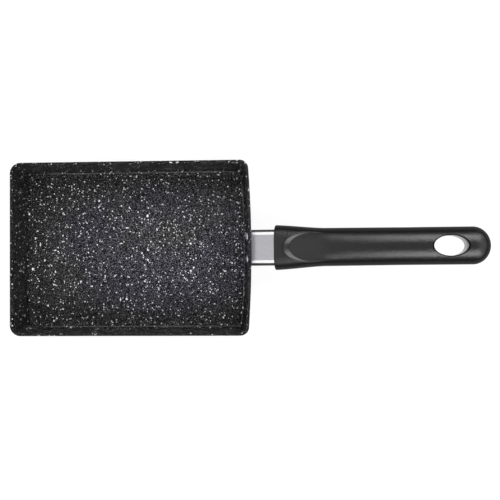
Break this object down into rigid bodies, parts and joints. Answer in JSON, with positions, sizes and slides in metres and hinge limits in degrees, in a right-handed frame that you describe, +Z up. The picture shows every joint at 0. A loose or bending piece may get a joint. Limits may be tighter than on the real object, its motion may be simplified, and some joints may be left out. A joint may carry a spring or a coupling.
{
  "type": "omelette pan",
  "caption": "Rectangular omelette pan with a speckled non-stick inside, a brushed steel sleeve and a black handle with a thumb rest and hang hole.",
  "frame": {"origin": "on the surface the pan stands on, under the middle of the pan's rim length and width, on its base pad", "axes": "+X from the pan along the handle, +Z up out of the pan, +Y across the pan"},
  "size_m": [0.3564, 0.1304, 0.0493],
  "materials": {
    "granite_coating": "matte",
    "rivet": "satin",
    "zinc_steel": "satin",
    "brushed_stainless": "satin",
    "black_moulding": "satin"
  },
  "bodies": {
    "root": {"pan_body": "granite_coating", "bracket_rivet_left": "rivet", "bracket_rivet_right": "rivet", "handle_bracket": "zinc_steel", "sleeve": "brushed_stainless", "handle_grip": "black_moulding", "bracket_nut": "zinc_steel", "handle_screw": "zinc_steel", "flat_washer": "zinc_steel", "spring_washer": "zinc_steel"}
  },
  "joints": []
}
